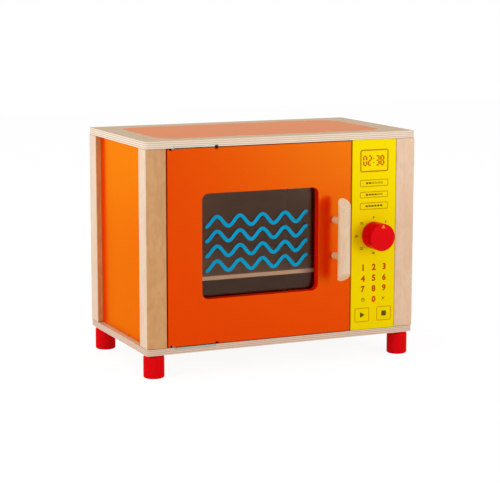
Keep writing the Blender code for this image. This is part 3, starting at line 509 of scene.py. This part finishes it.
orange_ink = printed_ink("printed_orange_ink", "#CA5600", "#D66C04")
red_ink = printed_ink("printed_red_ink", "#BE4204", "#CA5008")
brown_ink = printed_ink("printed_brown_ink", "#5E4604", "#7A5E06")
amber_ink = printed_ink("printed_amber_ink", "#CA8E00", "#D49E04")
frame_ink = printed_ink("printed_deep_amber_ink", "#C27A00", "#CE8E02")


def on_panel(x, z):
    """A place on the panel, from millimetres right of the cabinet's left side and up from the floor."""
    return body_left + x / 1000, z / 1000


def printed(name, shapes, ink, body="cabinet", face=panel_front):
    """One print: flat shapes, each an outline and any holes, as one thin film of ink on a face."""
    bm = bmesh.new()
    for shape in shapes:
        film = plate(shape, face - ink_film, face + ink_film / 4, True)
        scrap = bpy.data.meshes.new("film")
        film.to_mesh(scrap)
        film.free()
        bm.from_mesh(scrap)
        bpy.data.meshes.remove(scrap)
    return make_piece(name, bm, [ink], body)


def ring_of(x0, z0, x1, z1, line, corner):
    """A line round a rectangle with round corners, in the panel's millimetres."""
    outer = round_rectangle(on_panel(x0, z0), on_panel(x1, z1), corner / 1000, 6)
    inner = round_rectangle(on_panel(x0 + line, z0 + line), on_panel(x1 - line, z1 - line),
                            (corner - line) / 1000, 6)
    return [outer, inner]


def polygon(*points):
    """A shape between straight lines, in the panel's millimetres."""
    return [[on_panel(x, z) for x, z in points]]


def disc(x, z, radius, steps=20):
    """A round dot, in the panel's millimetres."""
    turns = [2 * pi * step / steps for step in range(steps)]
    return [[on_panel(x + radius * cos(turn), z + radius * sin(turn)) for turn in turns]]


def numbers(name, labels, height, ink, bold):
    """Printed numbers: each a text and its middle on the panel, all of one height in millimetres."""
    bm = bmesh.new()
    for text, x, z in labels:
        letters = bpy.data.curves.new("number", "FONT")
        letters.body = text
        letters.offset = bold
        letters.resolution_u = 4
        letters.fill_mode = "FRONT"
        stamp = bpy.data.objects.new("number", letters)
        scene.collection.objects.link(stamp)
        flat = bpy.data.meshes.new_from_object(stamp.evaluated_get(bpy.context.evaluated_depsgraph_get()))
        bpy.data.objects.remove(stamp)
        bpy.data.curves.remove(letters)
        low = [min(vertex.co[axis] for vertex in flat.vertices) for axis in (0, 1)]
        high = [max(vertex.co[axis] for vertex in flat.vertices) for axis in (0, 1)]
        size = height / 1000 / (high[1] - low[1])
        middle = [(a + b) / 2 for a, b in zip(low, high)]
        at = on_panel(x, z)
        for vertex in flat.vertices:
            u, v = ((vertex.co[axis] - middle[axis]) * size + at[axis] for axis in (0, 1))
            vertex.co = (u, panel_front - ink_film, v)
        start = len(bm.faces)
        bm.from_mesh(flat)
        bpy.data.meshes.remove(flat)
        bm.faces.ensure_lookup_table()
        faces = bm.faces[start:]
        bmesh.ops.remove_doubles(bm, verts=list({v for face in faces for v in face.verts}), dist=1e-7)
    grown = bmesh.ops.extrude_face_region(bm, geom=bm.faces[:])["geom"]
    moved = [item for item in grown if isinstance(item, bmesh.types.BMVert)]
    bmesh.ops.translate(bm, verts=moved, vec=(0, ink_film * 1.25, 0))
    return make_piece(name, bm, [ink], "cabinet")


# The clock is a frame with four seven-segment digits and a colon. Each digit lists the bars it lights.
display_frame = [ring_of(331.1, 275.9, 377.4, 308.8, 1.9, 3.6)]
segment_bars = {"0": "abcdef", "2": "abged", "3": "abgcd", "8": "abcdefg"}
digit_width, digit_height, bar = 7.0, 15.7, 2.3


def upright_bar(x, low, high):
    """One standing bar of a digit, pointed at both ends."""
    half = bar / 2
    return polygon((x, low), (x + half, low + half), (x + half, high - half), (x, high),
                   (x - half, high - half), (x - half, low + half))


def level_bar(left, right, z):
    """One lying bar of a digit, pointed at both ends."""
    half = bar / 2
    return polygon((left, z), (left + half, z - half), (right - half, z - half), (right, z),
                   (right - half, z + half), (left + half, z + half))


digit_low, digit_places, split = 284.6, (335.6, 343.4, 356.0, 363.7), 0.35
lit = []
for digit, x in zip("0238", digit_places):
    left, right = x + bar / 2, x + digit_width - bar / 2
    middle, top = digit_low + digit_height / 2, digit_low + digit_height
    bars = {"a": level_bar(left + split, right - split, top - bar / 2),
            "g": level_bar(left + split, right - split, middle),
            "d": level_bar(left + split, right - split, digit_low + bar / 2),
            "b": upright_bar(right, middle + split, top - bar / 2 - split),
            "c": upright_bar(right, digit_low + bar / 2 + split, middle - split),
            "f": upright_bar(left, middle + split, top - bar / 2 - split),
            "e": upright_bar(left, digit_low + bar / 2 + split, middle - split)}
    lit += [bars[letter] for letter in segment_bars[digit]]
colon = [disc(353.2, digit_low + digit_height * share, 0.8) for share in (0.3, 0.7)]
printed("clock_frame_print", display_frame, frame_ink)
printed("clock_digits_print", lit, orange_ink)
printed("clock_colon_print", colon, brown_ink)

# The three slim buttons show a low, a middle and a high setting as filled and empty steps.
slim_buttons = ((254.5, 264.9, 2), (238.1, 247.4, 4), (220.9, 231.4, 6))
button_left, button_right, frame_line = 331.4, 377.5, 1.2
first_step, step_pitch, step_length, step_half = 340.8, 4.8, 3.4, 1.3
printed("button_frames_print", [ring_of(button_left, low, button_right, high, frame_line, 1.5)
                                for low, high, _ in slim_buttons], amber_ink)
steps = []
for low, high, filled in slim_buttons:
    for step in range(6):
        left = first_step + step * step_pitch
        right, under, over = left + step_length, (low + high) / 2 - step_half, (low + high) / 2 + step_half
        if step < filled:
            steps.append(polygon((left, under), (right, under), (right, over), (left, over)))
        else:
            steps.append(ring_of(left, under, right, over, 0.6, 0.7))
printed("button_steps_print", steps, brown_ink)

# Eight minute numbers stand round the knob. The keys are in rows of three, with the 0 below them.
dial_x, dial_z, dial_reach, dial_rise = 354.3, 182.9, 28, 26.2
key_columns, key_rows = (337.8, 355.5, 372.7), (135.6, 119.5, 103.8)
dial_labels = []
for eighth in range(8):
    angle = radians(90 - 45 * eighth)
    dial_labels.append((str(5 * eighth), dial_x + dial_reach * cos(angle), dial_z + dial_rise * sin(angle)))
numbers("dial_numbers_print", dial_labels, 3.6, brown_ink, 0.03)
key_labels = [(str(row * 3 + column + 1), x, z) for row, z in enumerate(key_rows)
              for column, x in enumerate(key_columns)] + [("0", 355.8, 87.8)]
numbers("key_numbers_print", key_labels, 9.7, red_ink, 0.044)
# Beside the 0 a small clock face and a crossed mark stand for the timer and for clearing it.
mark_z, timer_x, cross_x = 88, 338.1, 371.3
hand = 0.35
clock_mark = [disc(timer_x, mark_z, 2.8, 24) + disc(timer_x, mark_z, 2.1, 24),
              polygon((timer_x - hand, mark_z - 0.3), (timer_x + hand, mark_z - 0.3),
                      (timer_x + hand, mark_z + 1.6), (timer_x - hand, mark_z + 1.6)),
              polygon((timer_x + 0.4, mark_z - hand), (timer_x + 1.6, mark_z - hand),
                      (timer_x + 1.6, mark_z + hand), (timer_x + 0.4, mark_z + hand))]
arm, waist = 2.6, 0.55
cross = ((0, waist), (arm - waist, arm), (arm, arm - waist), (waist, 0), (arm, waist - arm),
         (arm - waist, -arm), (0, -waist), (waist - arm, -arm), (-arm, waist - arm), (-waist, 0),
         (-arm, arm - waist), (waist - arm, arm))
cross_mark = [polygon(*[(cross_x + x, mark_z + z) for x, z in cross])]
printed("timer_marks_print", clock_mark + cross_mark, brown_ink)
# The two large buttons carry a plain triangle and a plain square.
printed("start_stop_frames_print", [ring_of(324.7, 54.7, 348.8, 75.9, frame_line, 2.6),
                                    ring_of(360.7, 54.7, 385.2, 76, frame_line, 2.6)], amber_ink)
start_mark = polygon((333.7, 61), (341.1, 65.3), (333.7, 69.7))
stop_mark = polygon((369.2, 61.5), (376.8, 61.5), (376.8, 69.1), (369.2, 69.1))
printed("start_stop_marks_print", [start_mark, stop_mark], brown_ink)

# Knob: turned beech, sprayed gloss red, with a printed gold pointer. Its beech spindle passes through the
# panel, where a nylon washer and a cross-head screw hold it from behind.

knob_ease, knob_socket = 0.0012, 0.0053
spindle_radius, spindle_ease, pilot_hole, pilot_depth = 0.005, 0.0005, 0.0018, 0.012
washer_radius, washer_ease = 0.011, 0.0002
low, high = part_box("knob")
knob_radius, knob_length = (high.x - low.x) / 2, high.y - low.y
knob_axis = middle_of("knob", y=low.y)
socket_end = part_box("knob_spindle")[0].y - low.y - seat_gap
profile = [(0, 0)] + rounded_side(knob_radius, 0, knob_length, knob_ease, 8)
profile += [(knob_socket, knob_length), (knob_socket, socket_end), (0, socket_end)]
make_piece("turned_knob", turned(profile, knob_axis, (0, 1, 0), 96), [red_lacquer], "knob",
           "knob")
gold_ink = printed_ink("printed_gold_ink", "#E09A2A", "#E8B050")
pointer = ((-0.0023, 0.0139), (0.0035, 0.0139), (0.0006, 0.0188))
pointer_shape = [[(knob_axis.x + x, knob_axis.z + z) for x, z in pointer]]
printed("knob_pointer_print", [pointer_shape], gold_ink, "knob", knob_axis.y)

low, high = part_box("knob_spindle")
length = high.y - low.y
profile = [(0, 0), (spindle_radius - spindle_ease, 0), (spindle_radius, spindle_ease),
           (spindle_radius, length), (pilot_hole, length), (pilot_hole, length - pilot_depth),
           (0, length - pilot_depth)]
make_piece("turned_knob_spindle", turned(profile, (knob_axis.x, low.y, knob_axis.z), (0, 1, 0)), [deep_beech],
           "knob", "knob_spindle")
material, tree, shader = new_finish("moulded_nylon")
# Natural nylon, injection moulded: a milky off-white that lets a little light into it.
milk = add(tree, "TexNoise", {"Vector": stretched(tree, 1.5), "Scale": 1.0, "Detail": 1.0})
colour = add(tree, "Mix", {"Factor": milk, "A": "#DEDACF", "B": "#D2CDC0"}, data_type="RGBA")
join(tree, shader, {"Base Color": colour, "Roughness": 0.42, "IOR": 1.53})
low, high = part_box("knob_washer")
length = high.y - low.y
profile = [(washer_radius - washer_ease, 0), (washer_radius, washer_ease), (washer_radius, length),
           (pilot_hole, length), (pilot_hole, 0)]
make_piece("moulded_knob_washer", turned(profile, (knob_axis.x, low.y, knob_axis.z), (0, 1, 0)), [material],
           "knob", "knob_washer")
screw("knob_screw", "knob", (0, -1, 0), shank=0.0015, head=0.0032, head_height=0.002)

# Door: a 12 mm board with a window routed out of it, its edges eased, sprayed orange all over. Leaves of
# two pivot hinges are let into its top and bottom edges, and the handle's pegs into its face.

door_corner, door_ease, window_corner = 0.001, 0.0008, 0.0095
pane_lap = 0.009
peg_socket, peg_seat, handle_bore, pane_bore, strike_bore = 0.0053, 0.005, 0.0021, 0.0017, 0.0016
overrun = 0.002
low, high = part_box("door_panel")
pane_low, pane_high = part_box("window_pane")
window_low = (pane_low.x + pane_lap, pane_low.z + pane_lap)
window_high = (pane_high.x - pane_lap, pane_high.z - pane_lap)
door = plate([round_rectangle((low.x, low.z), (high.x, high.z), door_corner, 4),
              round_rectangle(window_low, window_high, window_corner, 16)], low.y, high.y, True)
door.normal_update()
# The routed rim of the window takes the spray thinner and dries matter. Its gloss is tinted a dark
# brown-orange, a painted shade in the window's recess.
shaded_rim_lacquer = sprayed_lacquer("sprayed_orange_rim_painted_shade", "#EA1400", "#E61000", "#B8480C", "#B8480C", 0.45)
cuts = []
for where, z in (("top", high.z), ("bottom", low.z)):
    leaf_low, leaf_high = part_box("hinge_door_leaf_" + where)
    cuts.append(leaf_pocket("hinge_door_leaf_" + where))
    cuts += [bore(break_out_radius, (x, low.y - overrun, z), (0, 1, 0), break_out_depth + overrun)
             for x in (leaf_low.x - break_out_radius * 0.3, leaf_high.x + break_out_radius)]
for where in ("lower", "upper"):
    depth = high.y - low.y + overrun
    profile = [(0, -overrun), (peg_socket, -overrun), (peg_socket, peg_seat), (handle_bore, peg_seat),
               (handle_bore, depth), (0, depth)]
    cuts.append(turned(profile, middle_of("handle_peg_" + where, y=low.y), (0, 1, 0), 32))
pane_screws = [f"pane_screw_{number}" for number in range(1, 5)]
for node, width in [(node, pane_bore) for node in pane_screws] + [("strike_screw", strike_bore)]:
    start = middle_of(node, y=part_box(node)[0].y - seat_gap)
    cuts.append(bore(width, start, (0, 1, 0), high.y - start.y + overrun))
for face in door.faces:
    middle = face.calc_center_median()
    if window_low[0] - overrun < middle.x < window_high[0] + overrun and abs(face.normal.y) < 0.5:
        face.material_index = window_low[1] - overrun < middle.z < window_high[1] + overrun
make_piece("door_board", door, [orange_lacquer, shaded_rim_lacquer], "door", "door_panel",
           door_ease, cuts)

# Window pane: 3 mm acrylic with round corners and a faint smoky tint, screwed to the back of the door at
# its corners. Four blue wave lines are printed across its front.

pane_corner, pane_ease = 0.006, 0.0004
material, tree, shader = new_finish("smoked_acrylic")
# Cast acrylic tinted brown: it shows the shelf behind it a little darker and browner, and mirrors the
# room on both its faces. Each of the two faces holds half of the smoke.
haze = add(tree, "TexNoise", {"Vector": stretched(tree, 40), "Scale": 1.0})
colour = add(tree, "Mix", {"Factor": haze, "A": "#FDF6F0", "B": "#FAF0E8"}, data_type="RGBA")
wipes = add(tree, "TexNoise", {"Vector": stretched(tree, 30, "Z", 5), "Scale": 1.0, "Detail": 3.0})
gloss = add(tree, "MapRange", {"Value": wipes, "To Min": 0.04, "To Max": 0.1})
smoke = add(tree, "BsdfTransparent", {"Color": colour})
gleam = add(tree, "BsdfAnisotropic", {"Color": "#D4B09C", "Roughness": gloss})
share = add(tree, "Fresnel", {"IOR": 1.49})
pane_mix = add(tree, "MixShader", {0: share, 1: smoke, 2: gleam})
join(tree, tree.nodes["Material Output"], {"Surface": pane_mix})
tree.nodes.remove(shader)
pane = plate([round_rectangle((pane_low.x, pane_low.z), (pane_high.x, pane_high.z), pane_corner)],
             pane_low.y, pane_high.y, True)
through = pane_high.y - pane_low.y + 2 * overrun
cuts = [bore(pane_bore, middle_of(node, y=pane_low.y - overrun), (0, 1, 0), through) for node in pane_screws]
make_piece("smoked_pane", pane, [material], "door", "window_pane", pane_ease, cuts)

blue_ink = printed_ink("printed_blue_ink", "#0098C4", "#009ECA")
wave_start, wave_end, wave_crest, wave_period, wave_swing, wave_line = 95.8, 250.4, 111.4, 35.17, 6.9, 5.2
wave_heights = (215.8, 194.7, 173.6, 152.4)


def wave(middle):
    """A wavy line with round ends: its middle line, moved half its width to each side."""
    half = wave_line / 2
    line, over, under = [], [], []
    for step in range(181):
        x = wave_start + (wave_end - wave_start) * step / 180
        turn = 2 * pi * (x - wave_crest) / wave_period
        slope = atan(-wave_swing * 2 * pi / wave_period * sin(turn))
        z = middle + wave_swing * cos(turn)
        line.append((x, z, slope))
        over.append((x - half * sin(slope), z + half * cos(slope)))
        under.append((x + half * sin(slope), z - half * cos(slope)))
    caps = []
    for x, z, slope in (line[-1], line[0]):
        facing = slope if (x, z, slope) == line[-1] else slope + pi
        caps.append([(x + half * cos(facing + turn), z + half * sin(facing + turn))
                     for turn in (pi / 2 * (1 - step / 4) for step in range(1, 8))])
    outline = over + caps[0] + under[::-1] + caps[1]
    return [[on_panel(x, z) for x, z in outline]]


printed("pane_waves_print", [wave(z) for z in wave_heights], blue_ink, "door", pane_low.y)
for node in pane_screws:
    screw(node, "door", (0, -1, 0), shank=0.0014, head=0.0028, head_height=0.0018)

# Handle: an 18 mm beech dowel with both its ends sawn at a slant, held off the door by two 10 mm beech
# pegs. Everything is eased and clear lacquered, and screwed together from inside the door.

bar_ease, bar_slant, peg_ease, rim_steps = 0.0008, 0.014, 0.0004, 72
low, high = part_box("handle_bar")
radius = (high.x - low.x) / 2
axis_x, axis_y = (low.x + high.x) / 2, (low.y + high.y) / 2
bar_mesh = bmesh.new()
ends = []
for end, z in ((-1, low.z), (1, high.z)):
    ring = []
    for step in range(rim_steps):
        angle = 2 * pi * step / rim_steps
        y = radius * sin(angle)
        cut_back = bar_slant * (radius - y) / (2 * radius)
        ring.append(bar_mesh.verts.new((axis_x + radius * cos(angle), axis_y + y, z - end * cut_back)))
    bar_mesh.faces.new(ring)
    ends.append(ring)
for step in range(rim_steps):
    bar_mesh.faces.new((ends[0][step - 1], ends[0][step], ends[1][step], ends[1][step - 1]))
# The pegs' beech is drawn paler and more orange than the rest: painted light and orange bounce from the door,
# on pegs in the bar's shade.
lit_peg_beech = lacquered_beech("lacquered_beech_peg_painted_light", "Y", "#ECC286", "#E0B070", "Z")
cuts = []
for where in ("lower", "upper"):
    node = "handle_peg_" + where
    low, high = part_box(node)
    cuts.append(bore(peg_socket, middle_of(node, y=low.y - seat_gap), (0, 1, 0), peg_seat + overrun))
    profile = rounded_side((high.x - low.x) / 2, 0, high.y - low.y, peg_ease, 3)
    profile += [(handle_bore, high.y - low.y), (handle_bore, 0)]
    make_piece("turned_" + node, turned(profile, middle_of(node, y=low.y), (0, 1, 0), 48), [lit_peg_beech],
               "door", node)
    screw("handle_screw_" + where, "door", (0, -1, 0), shank=0.0018, head=0.0038, head_height=0.0024)
# The bar's beech is drawn paler and pinker than the posts': painted light on the handle.
lit_handle_beech = lacquered_beech("lacquered_beech_handle_painted_light", "Z", "#F4D6AC", "#EAC89C", "Y", 0.26)
make_piece("slanted_handle_bar", bar_mesh, [lit_handle_beech], "door", "handle_bar", bar_ease, cuts)

# Pivot hinges: zinc-plated steel leaves, punched round at one end, let into the boards and into the door's
# edges, with a shouldered pin between each pair and flat-head screws through them.

leaf_hole, leaf_ease = 0.0016, 0.0002
pin_hole, pin_radius, collar_radius, collar_height = 0.0018, 0.0015, 0.003, 0.0007
hinge_screw = {"shank": 0.0013, "head": 0.0027, "head_height": 0.0015, "flat": True}
for where, way in (("top", 1), ("bottom", -1)):
    for part, body, into in (("frame", "cabinet", way), ("door", "door", -way)):
        node = f"hinge_{part}_leaf_{where}"
        low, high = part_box(node)
        middle, half = (low.y + high.y) / 2, (high.y - low.y) / 2
        through = high.z - low.z + 2 * overrun
        cuts = [bore(pin_hole, (low.x + half, middle, low.z - overrun), (0, 0, 1), through)]
        for number in (1, 2):
            fixing = f"hinge_{part}_screw_{where}_{number}"
            screw_low, screw_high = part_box(fixing)
            head = (screw_high.x - screw_low.x) / 2 + seat_gap
            seat = middle_of(fixing, y=middle, z=low.z if into > 0 else high.z)
            sink = [(0, -overrun), (head, -overrun), (head, 0), (leaf_hole, head * 0.6),
                    (leaf_hole, head * 2), (0, head * 2)]
            cuts.append(turned(sink, seat, (0, 0, into), 32))
            screw(fixing, body, (0, 0, into), **hinge_screw)
        make_piece("punched_" + node, plate([leaf_outline(node)], low.z, high.z), [zinc], body,
                   node, leaf_ease, cuts)
    node = "hinge_pin_" + where
    low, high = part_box(node)
    length = high.z - low.z
    leaf_low, leaf_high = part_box("hinge_door_leaf_" + where)
    buried = leaf_high.z - leaf_low.z
    shoulder = buried + collar_height
    profile = [(0, 0), (pin_radius, 0), (pin_radius, buried), (collar_radius, buried),
               (collar_radius, shoulder), (pin_radius, shoulder), (pin_radius, length), (0, length)]
    start = middle_of(node, z=low.z if way > 0 else high.z)
    make_piece("turned_" + node, turned(profile, start, (0, 0, way), 40), [zinc], "cabinet", node)

# Magnetic catch: a nickel-plated disc magnet pressed into a beech block on the partition, and a small
# zinc-plated strike plate screwed to the back of the door.

dress(upright_beech, "catch_block")
material, tree, shader = new_finish("nickel_plated_magnet")
# Nickel plating over a sintered magnet: a warmer, darker and glossier metal than the zinc.
cloud = add(tree, "TexNoise", {"Vector": stretched(tree, 1.2), "Scale": 1.0})
colour = add(tree, "Mix", {"Factor": cloud, "A": "#B7B2A8", "B": "#A19C92"}, data_type="RGBA")
gloss = add(tree, "MapRange", {"Value": cloud, "To Min": 0.15, "To Max": 0.28})
join(tree, shader, {"Base Color": colour, "Metallic": 1.0, "Roughness": gloss})
magnet_ease, strike_corner, strike_sink, sink_depth = 0.0004, 0.002, 0.003, 0.0012
low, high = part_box("catch_magnet")
length = high.y - low.y
profile = [(0, 0)] + rounded_side((high.x - low.x) / 2, 0, length, magnet_ease, 3) + [(0, length)]
make_piece("pressed_catch_magnet", turned(profile, middle_of("catch_magnet", y=low.y), (0, 1, 0)), [material],
           "cabinet", "catch_magnet")
low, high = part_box("strike_plate")
through = high.y - low.y + overrun
sink = [(0, -overrun), (strike_sink, -overrun), (strike_sink, 0), (strike_bore, sink_depth),
        (strike_bore, through), (0, through)]
strike = plate([round_rectangle((low.x, low.z), (high.x, high.z), strike_corner)], low.y, high.y, True)
make_piece("punched_strike_plate", strike, [zinc], "door", "strike_plate", leaf_ease,
           [turned(sink, middle_of("strike_plate", y=high.y), (0, -1, 0), 32)])
screw("strike_screw", "door", (0, -1, 0), **hinge_screw)

# Floor and room: the toy stands on wide white paper. The camera, gloss and clear plastic see the paper
# and the room as white, and the paper keeps the toy's shadow.


def direct_look(tree):
    """One where the camera, a gloss or clear plastic looks this way, and nought for the light that falls."""
    seen = add(tree, "LightPath", {}).outputs
    straight = add(tree, "Math", {0: seen["Is Camera Ray"], 1: seen["Is Glossy Ray"]}, operation="MAXIMUM")
    return add(tree, "Math", {0: straight, 1: seen["Is Transmission Ray"]}, operation="MAXIMUM")


floor_mesh = bmesh.new()
reach = 4.0
floor_mesh.faces.new([floor_mesh.verts.new((x, y, 0)) for x, y in
                      ((-reach, -reach), (reach, -reach), (reach, reach), (-reach, reach))])
floor = bare_object("paper_floor", floor_mesh)
material, tree, shader = new_finish("white_paper")
join(tree, shader, {"Base Color": "#F4F4F4", "Roughness": 0.9})
glow = add(tree, "Emission", {"Strength": 1.06})
# Whatever looks straight at the paper sees mostly its plain white, and the rest is its lit, shaded self.
share = add(tree, "Math", {0: direct_look(tree), 1: 0.86}, operation="MULTIPLY")
mixed = add(tree, "MixShader", {0: share, 1: shader, 2: glow})
join(tree, tree.nodes["Material Output"], {"Surface": mixed})
floor.data.materials.append(material)
world = bpy.data.worlds.new("white_room")
scene.world = world
world.use_nodes = True
tree = world.node_tree
level = add(tree, "MapRange", {"Value": direct_look(tree), "To Min": 0.57})
join(tree, tree.nodes["Background"], {"Color": "#FFFFFF", "Strength": level})

# Lights: a tall soft box at the right front, a wide one from the left, a weak one behind on the left, and
# a wide one overhead.

toy_middle = Vector((0, 0, 0.18))


def way_from_toy(azimuth, elevation):
    """The way from the toy to a place. Azimuth 0 is straight in front, and 90 to the right."""
    a, e = radians(azimuth), radians(elevation)
    return Vector((sin(a) * cos(e), -cos(a) * cos(e), sin(e)))


def soft_box(name, azimuth, elevation, distance, width, height, power):
    """A flat lamp that looks at the toy."""
    way = way_from_toy(azimuth, elevation)
    lamp = bpy.data.lights.new(name, "AREA")
    lamp.shape = "RECTANGLE"
    lamp.size, lamp.size_y, lamp.energy = width, height, power
    box = bpy.data.objects.new(name, lamp)
    box.location = toy_middle + way * distance
    box.rotation_euler = way.to_track_quat("Z", "Y").to_euler()
    scene.collection.objects.link(box)


soft_box("key_soft_box", 31.5, 9, 2.2, 0.5, 1.1, 13)
soft_box("left_soft_box", -80, 15, 2.2, 1.3, 1.2, 17)
soft_box("back_soft_box", -145, 8, 1.8, 0.7, 1.0, 2)
soft_box("overhead_soft_box", 0, 88, 2.2, 1.2, 1.2, 6)

# Camera: at the left front and a little above, as far off as the photograph's lines meet.

place, azimuth, elevation, roll, lens = (-1.03195, -2.2707, 0.5747), -24.2414, 9.5417, 0.0823, 123.0123
back = way_from_toy(azimuth, elevation)
level_right = (-back).cross(Vector((0, 0, 1))).normalized()
level_up = level_right.cross(-back)
right = cos(radians(roll)) * level_right + sin(radians(roll)) * level_up
up = cos(radians(roll)) * level_up - sin(radians(roll)) * level_right
camera = bpy.data.objects.new("camera", bpy.data.cameras.new("camera"))
camera.data.lens, camera.data.sensor_width = lens, 36
camera.matrix_world = Matrix.Translation(place) @ Matrix((right, up, back)).transposed().to_4x4()
scene.collection.objects.link(camera)
scene.camera = camera
scene.view_settings.view_transform = "Standard"
